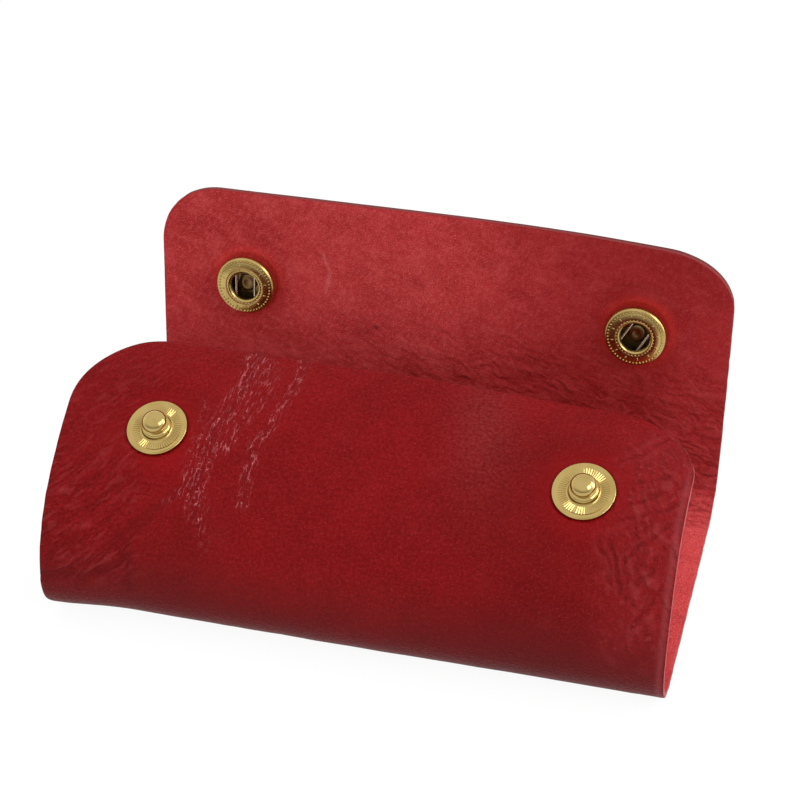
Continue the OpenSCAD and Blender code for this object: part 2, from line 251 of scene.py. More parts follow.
nudge = 0.25
tangent_s = middle(flat_x, flat_s + nudge) - middle(flat_x, flat_s - nudge)
tangent_x = middle(flat_x + nudge, flat_s) - middle(flat_x - nudge, flat_s)
unit = lambda v: v / np.linalg.norm(v, axis=-1, keepdims=True)
outward = unit(np.cross(tangent_s, tangent_x))

# Distance from each place to the cut edge, and to the nearest point of a crease.
corner_x = np.abs(flat_x) - (half_w - corner_r)
corner_s = np.abs(flat_s - sheet_len / 2) - (sheet_len / 2 - corner_r)
from_edge = corner_r - np.hypot(np.maximum(corner_x, 0), np.maximum(corner_s, 0)) - np.minimum(
    np.maximum(corner_x, corner_s), 0)
wander_x = flat_x + 0.7 * cloud(flat_x, flat_s, 3.1, 11) + 0.25 * cloud(flat_x, flat_s, 1.1, 12)
wander_s = flat_s + 0.7 * cloud(flat_x, flat_s, 3.3, 13) + 0.25 * cloud(flat_x, flat_s, 1.2, 14)


def crease(route, width):
    """1 on a route of flat points, fading to 0 over about width mm at its sides."""
    nearest = np.full(flat_x.shape, 1e3)
    for (x0, s0), (x1, s1) in zip(route, route[1:]):
        dx, ds = x1 - x0, s1 - s0
        t = np.clip(((wander_x - x0) * dx + (wander_s - s0) * ds) / (dx * dx + ds * ds), 0, 1)
        nearest = np.minimum(nearest, np.hypot(wander_x - x0 - t * dx, wander_s - s0 - t * ds))
    return np.exp(-(nearest / width) ** 2)


def net(x, s, size, seed, thin):
    """Thin winding lines, 1 on the line and 0 between."""
    return np.exp(-(cloud(x, s, size, seed) / thin) ** 2)


# Creases of the grain side: strands of crazed grain between the left stud and the middle,
# a fan of shallow folds at the left end, puckers at the right end, and folds that spread
# from the right stud. Each strand is a route of flat places.
main_strand = (
    (-25.5, 0.5), (-26.3, 8.2), (-29.3, 18.2), (-30.8, 25.2), (-30.5, 31.7), (-28.5, 37),
    (-26, 43),
)
side_strand = ((-17, 0.5), (-17.5, 9), (-19.5, 15.7), (-21, 21), (-21.5, 26.7), (-21.5, 30.5))
link_strand = ((-22.5, 3), (-21.5, 9), (-24.5, 16), (-26.5, 21))
left_strand = ((-33, 13), (-32.5, 22), (-33.5, 29), (-36.5, 33))
low_strand = ((-31, 27), (-37, 33.5), (-41.5, 37.5), (-43, 44), (-42, 49))
stud_strands = (
    ((44.6, 14.5), (48.5, 9.5), (53, 4)), ((46.5, 18), (51.5, 15.5), (56.5, 11.5)),
    ((47, 21), (50.5, 19.5), (54, 17)), ((47.2, 24), (52, 22), (57.5, 18)),
    ((46.5, 26.5), (48.5, 31), (50, 36)), ((44.6, 27.5), (46.5, 31), (48, 34.5)),
    ((50.5, 37), (54.5, 32), (57, 26.5)), ((50, 30), (53, 27), (56.5, 23)),
    ((53, 42.5), (55, 37.5), (56.5, 33)),
)
stud_folds = np.max([crease(route, 0.45) for route in stud_strands], axis=0)
stud_swells = np.max([crease(route, 1.3) for route in stud_strands], axis=0)
crazed = np.clip(
    crease(main_strand, 2.1) * ease(-flat_s, -46, -28)
    + 0.65 * crease(side_strand, 1.5) + 0.5 * crease(link_strand, 1.6)
    + 0.4 * crease(left_strand, 1.5), 0, 1)
fan = ease(-flat_x, 36, 46) * ease(flat_s, 18, 26) * ease(-flat_s, -54, -44)
fan_turn = (flat_x * 14.5 + flat_s * 21) / 25.5 + 1.1 * cloud(flat_x, flat_s, 7, 21)
pucker = ease(flat_x, 42, 52) * ease(flat_s, 1, 6) * ease(-flat_s, -54, -42)
skew_x, skew_s = flat_x * 0.8 - flat_s * 0.45, flat_s * 0.8 + flat_x * 0.35
stud_reach = np.minimum(
    np.hypot(flat_x - snap_x, flat_s - stud_s), np.hypot(flat_x + snap_x, flat_s - stud_s))
socket_reach = np.minimum(
    np.hypot(flat_x - snap_x, flat_s - socket_s), np.hypot(flat_x + snap_x, flat_s - socket_s))
near_snap = 1 - ease(np.minimum(stud_reach, socket_reach), 6.2, 9)
pressed_in, arris_w, crest_h = 0.22, 0.8, 0.12

grain_relief = (
    0.045 * cloud(flat_x, flat_s, 6.3, 31) + 0.02 * cloud(flat_x, flat_s, 2.2, 32)
    - 0.07 * crease(main_strand, 0.8) - 0.05 * crease(side_strand, 0.6)
    - 0.11 * crease(low_strand, 1.1)
    - crazed * 0.08 * net(flat_x * 1.6, flat_s * 0.8, 1.7, 33, 0.3)
    + fan * (0.08 * np.sin(2 * math.pi * fan_turn / 4.3) - 0.05 * net(skew_x, skew_s, 3.7, 34, 0.2))
    + pucker * (0.08 * cloud(skew_x, skew_s, 3.1, 37) - 0.1 * net(skew_x, skew_s, 4.4, 35, 0.3))
    + 0.07 * stud_swells - 0.2 * stud_folds
    - 0.2 * crease(((-59, 47.5), (-50, 46.6), (-43.5, 45.2)), 0.7)
    - 0.07 * crease(((-41, 38), (-42.5, 44), (-41.5, 50)), 1.1)
) * (1 - near_snap)
round_off = 1 - ease(from_edge, 0, arris_w)
ring_lip = np.exp(-((stud_reach - 6.5) / 0.45) ** 2)
grain_relief += (
    0.05 * ring_lip - pressed_in * (1 - ease(stud_reach, 5.85, 6.05))
    - pressed_in * (1 - ease(socket_reach, 6.35, 6.6)) - 0.1 * round_off ** 2
)

# Creases of the flesh side: long shallow wrinkles low on the top flap and towards its
# right end, and tight ones where the rear fold squeezes the leather.
long_x, long_s = flat_x * 0.22, flat_s + 0.08 * flat_x
wrinkled = ease(-flat_s, -158, -132) * ease(flat_s, 104, 116) * (
    0.45 + 0.55 * ease(flat_x, -20, 20))
squeezed = ease(flat_x, 44, 54) * ease(flat_s, 108, 114) * ease(-flat_s, -134, -124)
flesh_relief = (
    0.05 * cloud(flat_x, flat_s, 5.1, 41) + 0.03 * cloud(flat_x, flat_s, 1.7, 42)
    + wrinkled * (0.09 * cloud(long_x, long_s, 1.5, 43) - 0.04 * net(long_x, long_s, 2.6, 44, 0.35))
    + squeezed * 0.13 * np.sin(2 * math.pi * (flat_s + 0.8 * cloud(flat_x, flat_s, 3, 45)) / 1.7)
) * (1 - near_snap)
flesh_relief += (
    - pressed_in * (1 - ease(socket_reach, 6.15, 6.35))
    + 0.05 * np.exp(-((socket_reach - 6.7) / 0.4) ** 2)
    - pressed_in * (1 - ease(stud_reach, 4.65, 4.85)) - 0.08 * round_off ** 2
)

sheet_middle = middle(flat_x, flat_s)
grain_face = sheet_middle + outward * (half_t + grain_relief)[..., None]
flesh_face = sheet_middle - outward * (half_t + flesh_relief)[..., None]

# The cut edge: a slightly bulged band with rounded arrises, cut a little unevenly.
band = np.array((0.36, 0.14, -0.14, -0.36))
bulge_h, bulge_in, rough_h = 0.14, 0.05, 0.05
bulge = bulge_h * (1 - (band / half_t) ** 2) - bulge_in
band_count = len(band)


def edge_band(row_index, column_index, away_x, away_s):
    """Points of the cut edge beside a line of the sheet's own edge points."""
    x, s = flat_x[row_index, column_index], flat_s[row_index, column_index]
    tx, ts = unit(tangent_x[row_index, column_index]), unit(tangent_s[row_index, column_index])
    away = tx * away_x[:, None] + ts * away_s[:, None]
    rough = rough_h * cloud(x * 3 + 7, s * 3, 4.1, 51)[:, None] + bulge
    core = sheet_middle[row_index, column_index]
    return (
        core[:, None] + outward[row_index, column_index][:, None] * band[:, None]
        + away[:, None] * rough[..., None]
    )


every_row, every_column = np.arange(row_count), np.arange(column_count)
side_x = half_widths - (half_w - corner_r)
side_s = np.where(
    rows < corner_r, rows - corner_r,
    np.where(rows > sheet_len - corner_r, rows - sheet_len + corner_r, 0))
side_size = np.hypot(side_x, side_s)
out_x, out_s = side_x / side_size, side_s / side_size
right_band = edge_band(every_row, np.full(row_count, column_count - 1), out_x, out_s)
left_band = edge_band(every_row, np.zeros(row_count, int), -out_x, out_s)
rings = np.concatenate([grain_face, right_band, flesh_face[:, ::-1], left_band[:, ::-1]], 1)
ring_count = rings.shape[1]
end_bands = [
    edge_band(
        np.full(column_count, row), every_column, np.zeros(column_count),
        np.full(column_count, away),
    ).transpose(1, 0, 2)[:, 1:-1] for row, away in ((0, -1.0), (row_count - 1, 1.0))
]
points = np.concatenate([rings.reshape(-1, 3)] + [b.reshape(-1, 3) for b in end_bands])

# Each point's flat place, how worn, crazed, pressed or raw the leather is there, and where painted
# light, sheen and shade lie on it.
mirrored = lambda a, b=None: np.concatenate([
    a, np.repeat(a[:, -1:], band_count, 1), (a if b is None else b)[:, ::-1],
    np.repeat(a[:, :1], band_count, 1)
], 1).ravel()
ends = lambda a: np.concatenate([np.tile(a[0, 1:-1], band_count), np.tile(a[-1, 1:-1], band_count)])
spread = lambda a, b=None: np.concatenate([mirrored(a, b), ends(a)])
# Painted sheen on the front flap's grain.
sheen = np.exp(-((flat_x - 19 - 0.1 * flat_s) / 6) ** 2 - ((flat_s - 9) / 13) ** 2)
# Painted light on the flesh: high on the top flap and inside the right end of the rear fold.
painted_light = (
    0.25 * np.exp(-((flat_x + 8) / 22) ** 2) * ease(flat_s, 134, 152)
    + 0.9 * ease(flat_x, 42, 57) * ease(-flat_s, -128, -108)
)
front_shade = (
    0.7 * np.exp(-((flat_x - 34) / 15) ** 2) * ease(flat_s, 2, 14)
    + 0.3 * ease(flat_x, 0, 30) * ease(flat_s, 34, 50)
    + 0.35 * np.exp(-((flat_x + 30) / 10) ** 2) * ease(flat_s, 26, 40)
) * ease(-flat_s, -76, -60)
top_shade = (
    0.9 * ease(flat_x, 0, 38) * (1 - ease(flat_x, 42, 57) * ease(-flat_s, -128, -108))
    + 0.75 * ease(-flat_s, -152, -130) * (1 - ease(flat_x, 30, 46))
) * ease(flat_s, 76, 104)
low_fan = 0.6 * ease(-flat_x, 34, 46) * ease(flat_s, 1, 5) * ease(-flat_s, -30, -18)
marks = {
    "crazed": spread(crazed),
    "sheen": spread(sheen),
    # Round the studs, leather pressed a deeper red; round the sockets, a painted glow of light
    # beside the brass.
    "pressed": spread(
        np.exp(-((stud_reach - 6) / 3.5) ** 2), np.exp(-((socket_reach - 6.2) / 1.5) ** 2)),
    "pucker": spread(pucker),
    "folded": spread((stud_swells - 1.7 * stud_folds) * (1 - near_snap)),
    "fan": spread(np.maximum(fan, low_fan)),
    # Height of the relief, which the finishes turn into painted light on crests and painted shade
    # in grooves.
    "crest_shading": spread(grain_relief / crest_h, flesh_relief / crest_h),
    # Painted sheen along the bevel of the right edge.
    "bevel": spread(np.exp(-((half_w - flat_x - 0.9) / 0.55) ** 2) * ease(flat_s, 6, 16)),
    "worn": spread(0 * flat_x, crease(((-24.6, 160.5), (-23.4, 157), (-23.6, 152.5)), 0.35)),
    "stain": spread(0 * flat_x, np.exp(-np.hypot(flat_x + 13, flat_s - 146.3) ** 2 / 0.25)),
    # Painted shade where the front flap rolls under, with a little painted sheen.
    "roll": spread(ease(flat_s, 38, 54) * ease(-flat_s, -74, -62)),
    "wrinkled": spread(np.maximum(wrinkled, squeezed)),
    "painted_light": spread(np.clip(painted_light, 0, 1)),
    "shade": spread(np.clip(front_shade + top_shade, 0, 1)),
}

# The third number of a flat place runs from 0 on the grain side to leather_depth on the flesh.
leather_depth = 8
band_depths = leather_depth * np.arange(1, band_count + 1) / (band_count + 1)
flat_places = np.stack([spread(flat_x), spread(flat_s), np.zeros(len(points))], -1)
flat_places[:, 2] = np.concatenate([
    np.tile(np.concatenate([
        np.zeros(column_count), band_depths, np.full(column_count, leather_depth), band_depths[::-1]
    ]), row_count),
    np.tile(np.repeat(band_depths, column_count - 2), 2),
])

# Faces: bands between the rings, and a rounded closing strip at both free edges.
ring_at = np.arange(row_count * ring_count).reshape(row_count, ring_count)
ring_next = np.roll(ring_at, -1, 1)
GRAIN, FLESH, EDGE = 0, 1, 2
ring_side = np.repeat(
    (GRAIN, EDGE, FLESH, EDGE),
    (column_count - 1, band_count + 1, column_count - 1, band_count + 1))
flesh_at = ring_at[:, column_count + band_count:2 * column_count + band_count][:, ::-1]


def closing_strip(row, extra):
    """Faces from the grain side round a free edge to the flesh side."""
    grid = np.zeros((band_count + 2, column_count), int)
    grid[0], grid[-1] = ring_at[row, :column_count], flesh_at[row]
    grid[1:-1, 1:-1] = extra.reshape(band_count, -1)
    grid[1:-1, -1] = ring_at[row, column_count:column_count + band_count]
    grid[1:-1, 0] = ring_at[row, :-band_count - 1:-1]
    quads = np.stack([grid[:-1, :-1], grid[:-1, 1:], grid[1:, 1:], grid[1:, :-1]], -1)
    quads = quads.reshape(-1, 4)
    return quads if row == 0 else quads[:, ::-1]


extra_at = np.arange(ring_at.size, len(points)).reshape(2, -1)
strips = {row: closing_strip(row, extra) for row, extra in zip((0, row_count - 1), extra_at)}


def seam_cover(row, forwards):
    """Faces that close a piece where it meets the next one, inside the leather."""
    ring, flesh = ring_at[row], flesh_at[row]
    faces = [[ring[j], ring[j + 1], flesh[j + 1], flesh[j]] for j in range(column_count - 1)]
    faces.append([*ring[column_count - 1:column_count + band_count + 1]])
    faces.append([*ring[2 * column_count + band_count - 1:], ring[0]])
    return [f[::-1] for f in faces] if forwards else faces


all_quads = np.stack([ring_at[:-1], ring_at[1:], ring_next[1:], ring_next[:-1]], -1)
whole = bpy.data.meshes.new("whole_sheet")
whole_faces = np.concatenate([all_quads.reshape(-1, 4), *strips.values()])
whole.from_pydata(points * MM, [], whole_faces.tolist())
whole_normals = np.zeros(len(points) * 3)
whole.vertex_normals.foreach_get("vector", whole_normals)
whole_normals = whole_normals.reshape(-1, 3)
bpy.data.meshes.remove(whole)


def leather_piece(name, first_row, last_row):
    """One closed stretch of the sheet, which keeps the whole sheet's smooth shading."""
    faces = all_quads[first_row:last_row].reshape(-1, 4).tolist()
    sides = np.tile(ring_side, last_row - first_row).tolist()
    for row, forwards in ((first_row, False), (last_row, True)):
        new = strips[row].tolist() if row in strips else seam_cover(row, forwards)
        faces += new
        sides += [EDGE] * len(new)
    used, where = np.unique(np.concatenate([np.ravel(f) for f in faces]), return_inverse=True)
    mesh = bpy.data.meshes.new(name)
    new_at = np.full(len(points), -1)
    new_at[used] = np.arange(len(used))
    mesh.from_pydata((points[used] * MM).tolist(), [], [new_at[f].tolist() for f in faces])
    mesh.polygons.foreach_set("material_index", sides)
    mesh.polygons.foreach_set("use_smooth", [True] * len(faces))
    for mark, values in marks.items():
        mesh.attributes.new(mark, "FLOAT", "POINT").data.foreach_set("value", values[used])
    flat_data = mesh.attributes.new("flat", "FLOAT_VECTOR", "POINT").data
    flat_data.foreach_set("vector", flat_places[used].ravel())
    mesh.normals_split_custom_set_from_vertices(whole_normals[used].tolist())
    piece = in_scene(name, mesh)
    for finish in (grain_finish, flesh_finish, edge_finish):
        mesh.materials.append(finish.owner)
    return piece


class Signal:
    """A number or a colour on its way through a finish."""

    def __init__(self, finish, socket):
        self.finish, self.socket = finish, socket

    def _math(self, operation, left, right):
        return self.finish.add("ShaderNodeMath", {"operation": operation}, {0: left, 1: right})

    def __add__(self, other):
        return self._math("ADD", self, other)

    def __sub__(self, other):
        return self._math("SUBTRACT", self, other)

    def __rsub__(self, other):
        return self._math("SUBTRACT", other, self)

    def __mul__(self, other):
        return self._math("MULTIPLY", self, other)

    __radd__, __rmul__ = __add__, __mul__


class Finish:
    """The nodes of one finish, or of the studio's world."""

    def __init__(self, owner):
        self.owner = owner
        owner.use_nodes = True
        owner.node_tree.nodes.clear()

    def add(self, kind, settings=None, inputs=None, out=0):
        """Adds a node: its settings first, then its sockets' values and links."""
        node = self.owner.node_tree.nodes.new(kind)
        for name, value in (settings or {}).items():
            setattr(node, name, value)
        for name, value in (inputs or {}).items():
            if isinstance(value, Signal):
                self.owner.node_tree.links.new(value.socket, node.inputs[name])
            else:
                node.inputs[name].default_value = value
        return Signal(self, node.outputs[out]) if node.outputs else node

    def mix(self, share, first_colour, second_colour):
        """The first colour, with a share of the second over it."""
        colour = lambda c: c if isinstance(c, Signal) else (*c, 1)
        return self.add("ShaderNodeMix", {"data_type": "RGBA"}, {
            0: share, 6: colour(first_colour), 7: colour(second_colour)}, 2)

    def rise(self, value, low, high, to_low=0, to_high=1):
        """Smooth rise of a signal between two levels."""
        return self.add("ShaderNodeMapRange", {"interpolation_type": "SMOOTHSTEP"}, {
            "Value": value, "From Min": low, "From Max": high,
            "To Min": to_low, "To Max": to_high})

    def noise(self, places, size, detail=2, roughness=0.5):
        """Clouds of a size, about 0.5 in the middle."""
        return self.add("ShaderNodeTexNoise", None, {
            "Vector": places, "Scale": 1 / size, "Detail": detail, "Roughness": roughness})

    def stretched(self, places, along, across, turn):
        """Draws a pattern out along a direction, in degrees from x towards s."""
        return self.add("ShaderNodeMapping", {"vector_type": "TEXTURE"}, {
            "Vector": places, "Scale": (along, across, 1), "Rotation": (0, 0, math.radians(turn))})

    def warped(self, places, size, reach):
        """Bends a pattern's places about by up to half of reach, in waves of a size."""
        waves = self.add(
            "ShaderNodeTexNoise", None, {"Vector": places, "Scale": 1 / size, "Detail": 2}, 1)
        return self.add("ShaderNodeVectorMath", {"operation": "MULTIPLY_ADD"}, {
            0: waves, 1: (reach, reach, 0), 2: places})

    def cells(self, places, size):
        """Distance from the lines between cells of a size, 0 on the lines."""
        return self.add("ShaderNodeTexVoronoi", {"feature": "DISTANCE_TO_EDGE"}, {
            "Vector": places, "Scale": 1 / size})

    def ridges(self, places, size):
        """Soft ridges between winding grooves, 0 in a groove and about 1 on a ridge."""
        gap = self.noise(places, size, 1, 0.4) - 0.5
        return self.add("ShaderNodeMath", {"operation": "ABSOLUTE"}, {0: gap}) * 6

    def bump(self, height, depth, normal=None):
        """Relief of a signal, with its depth in mm."""
        inputs = {"Height": height, "Distance": depth * MM, "Strength": 1}
        if normal:
            inputs["Normal"] = normal
        return self.add("ShaderNodeBump", None, inputs)

    def mark(self, name, out="Fac"):
        return self.add("ShaderNodeAttribute", {"attribute_name": name}, out=out)

    def other(self, signal, name):
        """Another output of the node that a signal comes from."""
        return Signal(self, signal.socket.node.outputs[name])

    def surface(self, **inputs):
        names = {name.replace("_", " "): value for name, value in inputs.items()}
        shader = self.add("ShaderNodeBsdfPrincipled", None, names)
        self.add("ShaderNodeOutputMaterial", None, {"Surface": shader})


# Grain side: deep red aniline dye with cloudy depth and fine pebbled grain. The crests of folds are
# painted paler, as painted light, and their grooves darker, as painted shade.
grain_finish = Finish(bpy.data.materials.new("red_grain_leather"))
g = grain_finish
flat = g.mark("flat", "Vector")
crazed_mark, pucker_mark, fan_mark = g.mark("crazed"), g.mark("pucker"), g.mark("fan")
crest_shading, bevel_sheen, folded_mark = g.mark("crest_shading"), g.mark("bevel"), g.mark("folded")
depth_cloud = g.noise(flat, 17, 3)
patch_cloud = g.noise(flat, 4.2, 3)
mottle = g.noise(g.warped(flat, 2, 0.6), 0.62, 3, 0.6)
speckle = g.noise(flat, 0.34, 1)
pebbles = g.cells(g.warped(flat, 0.9, 0.7), 0.8)
patchy = g.rise(g.noise(flat, 2.6, 2), 0.36, 0.6)
pucker_folds = g.ridges(g.stretched(g.warped(flat, 4, 2.5), 1.9, 1, 58), 2.5)
pucker_cells = g.ridges(g.warped(flat, 2, 1), 1.5)
fan_folds = g.ridges(g.stretched(g.warped(flat, 5, 3), 3, 1, 143), 1.45)
fan_cells = g.ridges(g.stretched(g.warped(flat, 2, 1.2), 1.5, 1, 120), 1.2)
strand_cells = g.cells(g.warped(g.stretched(flat, 2.6, 0.8, 98), 0.9, 0.7), 0.72)
cross_cells = g.cells(g.warped(g.stretched(flat, 1.6, 0.8, 62), 0.9, 0.7), 0.95)
broken = g.rise(g.noise(g.stretched(flat, 2.4, 0.7, 98), 0.9, 3), 0.47, 0.62)
glints = (
    g.rise(strand_cells, 0.07, 0.01) * broken + g.rise(cross_cells, 0.05, 0.01) * broken * 0.5
) * g.rise(crazed_mark, 0.12, 0.7)
colour = g.mix(g.rise(depth_cloud, 0.36, 0.64), (0.163, 0.0015, 0.0022), (0.196, 0.0020, 0.0030))
for cover, tint in (
    (g.rise(patch_cloud, 0.4, 0.66) * 0.25, (0.235, 0.004, 0.006)),
    (g.rise(mottle, 0.46, 0.64) * 0.38, (0.26, 0.009, 0.012)),
    (g.rise(mottle, 0.52, 0.34) * 0.36, (0.108, 0.001, 0.0018)),
    (g.rise(pebbles, 0.14, 0) * 0.2, (0.09, 0.001, 0.0016)),
    (g.mark("shade") * 0.5, (0.09, 0.0018, 0.0026)),
    # Pale specks: partly the grain's own tone, partly painted glints.
    (g.rise(speckle, 0.6, 0.76) * 0.4, (0.32, 0.042, 0.045)),
    (g.mark("pressed") * 0.4, (0.23, 0.0012, 0.0018)),
    # Painted shade, greyed by a little painted sheen, where the front flap rolls under.
    (g.mark("roll") * 0.62, (0.078, 0.0085, 0.009)),
    # Painted sheen.
    (g.mark("sheen") * g.rise(mottle, 0.3, 0.7) * 0.45, (0.19, 0.034, 0.034)),
    # Painted light on the crests of the relief and painted shade in its grooves.
    (g.rise(crest_shading, 0.15, 1.1) * 0.35, (0.28, 0.020, 0.024)),
    (g.rise(crest_shading, -0.15, -1.2) * 0.3, (0.08, 0.0013, 0.002)),
    # Painted sheen on the ridges of the fan and the puckers, and painted shade in their grooves.
    (g.rise(fan_folds, 0.5, 1.3) * fan_mark * 0.28, (0.28, 0.034, 0.037)),
    (g.rise(fan_folds, 0.3, 0) * fan_mark * 0.3, (0.09, 0.002, 0.003)),
    (g.rise(fan_cells, 0.3, 0) * fan_mark * patchy * 0.3, (0.10, 0.002, 0.003)),
    (g.rise(pucker_folds, 0.6, 1.5) * pucker_mark * 0.28, (0.29, 0.040, 0.043)),
    (g.rise(pucker_cells, 0.9, 1.5) * patchy * pucker_mark * 0.35, (0.33, 0.055, 0.06)),
    (g.rise(pucker_folds, 0.3, 0) * pucker_mark * patchy * 0.45, (0.075, 0.0015, 0.002)),
    (g.rise(pucker_cells, 0.25, 0) * pucker_mark * patchy * 0.28, (0.085, 0.0015, 0.002)),
    (crazed_mark * 0.2, (0.24, 0.008, 0.010)),
    # Painted sheen over the puckers, and painted glints along the crazed strands.
    (pucker_mark * 0.16, (0.30, 0.022, 0.026)),
    (glints * 0.62, (0.58, 0.17, 0.19)),
    # Painted light on the swells beside the right stud's folds, and painted shade in the folds.
    (g.rise(folded_mark, 0.1, 0.8) * patchy * 0.15, (0.34, 0.05, 0.055)),
    (g.rise(folded_mark, 0, -0.6) * patchy * 0.34, (0.08, 0.0015, 0.002)),
    # Painted sheen along the right edge's bevel.
    (bevel_sheen * 0.4, (0.29, 0.055, 0.06)),
):
    colour = g.mix(cover, colour, tint)
normal = g.bump(0.6 * mottle + 0.5 * g.rise(pebbles, 0, 0.25) + 0.3 * speckle, 0.09)
normal = g.bump(g.noise(flat, 2.1, 3, 0.6), 0.12, normal)
normal = g.bump(
    (0.5 * fan_folds + 0.3 * fan_cells) * fan_mark
    + (0.7 * pucker_folds + 0.3 * pucker_cells) * pucker_mark
    + 0.3 * crazed_mark * g.rise(strand_cells, 0, 0.15), 0.35, normal)
gloss = g.rise(mottle, 0.3, 0.7, 0.5, 0.40) - 0.1 * crazed_mark
g.surface(Base_Color=colour, Roughness=gloss, Normal=normal, Specular_IOR_Level=0.065)

# Flesh side: split and sanded, softer and lighter than the grain, with light and dark clouds,
# painted light high on the top flap and inside its right end, and long wrinkles towards the right
# end.
flesh_finish = Finish(bpy.data.materials.new("red_flesh_leather"))
f = flesh_finish
flat = f.mark("flat", "Vector")
crest_shading, wrinkled_mark = f.mark("crest_shading"), f.mark("wrinkled")
clouds = f.noise(f.warped(flat, 6, 5), 4.6, 4, 0.62)
streaks = f.noise(f.stretched(f.warped(flat, 6, 3), 4.5, 1, -24), 1.5, 4, 0.62)
tufts = f.noise(f.stretched(flat, 1.6, 1, 60), 0.8, 3, 0.65)
nap = f.noise(flat, 0.32, 2, 0.7)
broad = f.noise(flat, 19, 2)
wrinkle_folds = f.ridges(f.stretched(f.warped(flat, 4, 4), 2.2, 1, -18), 1.9)
wrinkle_patches = f.rise(f.noise(flat, 4, 2), 0.4, 0.62) * wrinkled_mark
painted_light = f.mark("painted_light")
colour = f.mix(f.rise(broad, 0.38, 0.62), (0.36, 0.020, 0.021), (0.43, 0.029, 0.031))
for cover, tint in (
    # Painted light.
    (painted_light, (0.66, 0.064, 0.066)),
    (f.rise(clouds, 0.48, 0.7) * 0.32, (0.62, 0.082, 0.085)),
    (f.rise(clouds, 0.5, 0.3) * 0.24, (0.25, 0.008, 0.009)),
    (f.rise(streaks, 0.5, 0.7) * (0.18 + 0.22 * wrinkled_mark), (0.60, 0.085, 0.088)),
    (f.rise(streaks, 0.48, 0.3) * (0.18 + 0.2 * wrinkled_mark), (0.22, 0.006, 0.007)),
    (f.rise(tufts, 0.5, 0.68) * 0.3, (0.60, 0.10, 0.10)),
    (f.rise(tufts, 0.5, 0.32) * 0.3, (0.22, 0.007, 0.008)),
    (f.rise(nap, 0.5, 0.72) * (0.32 + 0.4 * painted_light), (0.72, 0.17, 0.17)),
    (f.rise(nap, 0.5, 0.28) * 0.32, (0.22, 0.008, 0.009)),
    # Painted light on the crests of the relief and wrinkles, and painted shade in their grooves.
    (f.rise(crest_shading, 0.2, 1.1) * 0.35, (0.60, 0.085, 0.085)),
    (f.rise(crest_shading, -0.1, -0.9) * 0.3, (0.16, 0.005, 0.006)),
    (f.rise(wrinkle_folds, 0.6, 1.4) * wrinkled_mark * 0.25, (0.58, 0.08, 0.08)),
    (f.rise(wrinkle_folds, 0.3, 0) * wrinkle_patches * 0.4, (0.16, 0.005, 0.006)),
    (f.mark("shade") * 0.6, (0.20, 0.005, 0.006)),
    # Painted glow of light round the sockets.
    (f.mark("pressed") * 0.38, (0.60, 0.028, 0.014)),
    (f.mark("worn") * 0.35, (0.62, 0.18, 0.18)),
    (f.mark("stain") * 0.8, (0.06, 0.01, 0.01)),
):
    colour = f.mix(cover, colour, tint)
normal = f.bump(0.6 * nap + 0.6 * tufts, 0.13)
normal = f.bump(streaks * wrinkled_mark + 0.6 * wrinkle_folds * wrinkled_mark, 0.35, normal)
f.surface(Base_Color=colour, Roughness=0.9, Normal=normal, Specular_IOR_Level=0.1)

# Cut edge: dark under the grain and reddish brown towards the flesh side, fibrous, and paler at the
# right end, where light is painted on it.
edge_finish = Finish(bpy.data.materials.new("cut_leather_edge"))
e = edge_finish
flat = e.mark("flat", "Vector")
fibres = e.noise(e.stretched(flat, 1, 2, 0), 0.3, 3, 0.7)
split = e.add("ShaderNodeSeparateXYZ", None, {0: flat})
along, down, depth = (e.other(split, axis) for axis in "XYZ")
colour = e.mix(e.rise(depth, 2.4, 6), (0.11, 0.024, 0.020), (0.26, 0.035, 0.035))
colour = e.mix(e.rise(fibres, 0.35, 0.7) * 0.4, colour, (0.20, 0.04, 0.038))
# Painted light on the cut edge at the right end.
right_end_highlight = e.rise(along, 50, 58) * e.rise(down, 135, 105) * e.rise(fibres, 0.2, 0.6, 0.5, 1)
colour = e.mix(right_end_highlight, colour, (0.46, 0.11, 0.115))
e.surface(Base_Color=colour, Roughness=0.7, Normal=e.bump(fibres, 0.12), Specular_IOR_Level=0.2)

# Three pieces of the sheet meet inside the leather: the front flap with the upper part
# of its fold, the back panel with the lower part, and the rear fold with the top flap.
front_seam_in, rear_seam_in = 8.4, 12
front_seam, rear_seam = (
    int(np.argmin(abs(rows - s))) for s in (front_len - front_seam_in, rear_start - rear_seam_in))
front_leather = leather_piece("leather_front_flap", 0, front_seam)
panel_leather = leather_piece("leather_back_panel", front_seam, rear_seam)
top_leather = leather_piece("leather_top_flap", rear_seam, row_count - 1)
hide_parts("front_flap", "front_fold")
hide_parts("back_panel")
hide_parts("rear_fold", "top_flap")
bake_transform(panel_leather)
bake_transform(front_leather)
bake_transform(top_leather)

# Studs: thin brass stampings, each clenched on a flat-headed post from the flesh side.
# A dished flange with a raised rim and a band of fine ribs carries the neck and head.
stud_h, head_r, head_mid, head_low, post_r, press_in = 4.35, 2.38, 2.75, 1.0, 1.1, 0.2
grip = leather_t - 2 * press_in
snap_rise = half_t - press_in


def arc(r, z, radius, start, end, steps=5):
    """Points of an outline round a centre, by angle from straight out."""
    turns = np.radians(np.linspace(start, end, steps))
    return [(r + radius * math.cos(a), z + radius * math.sin(a)) for a in turns]


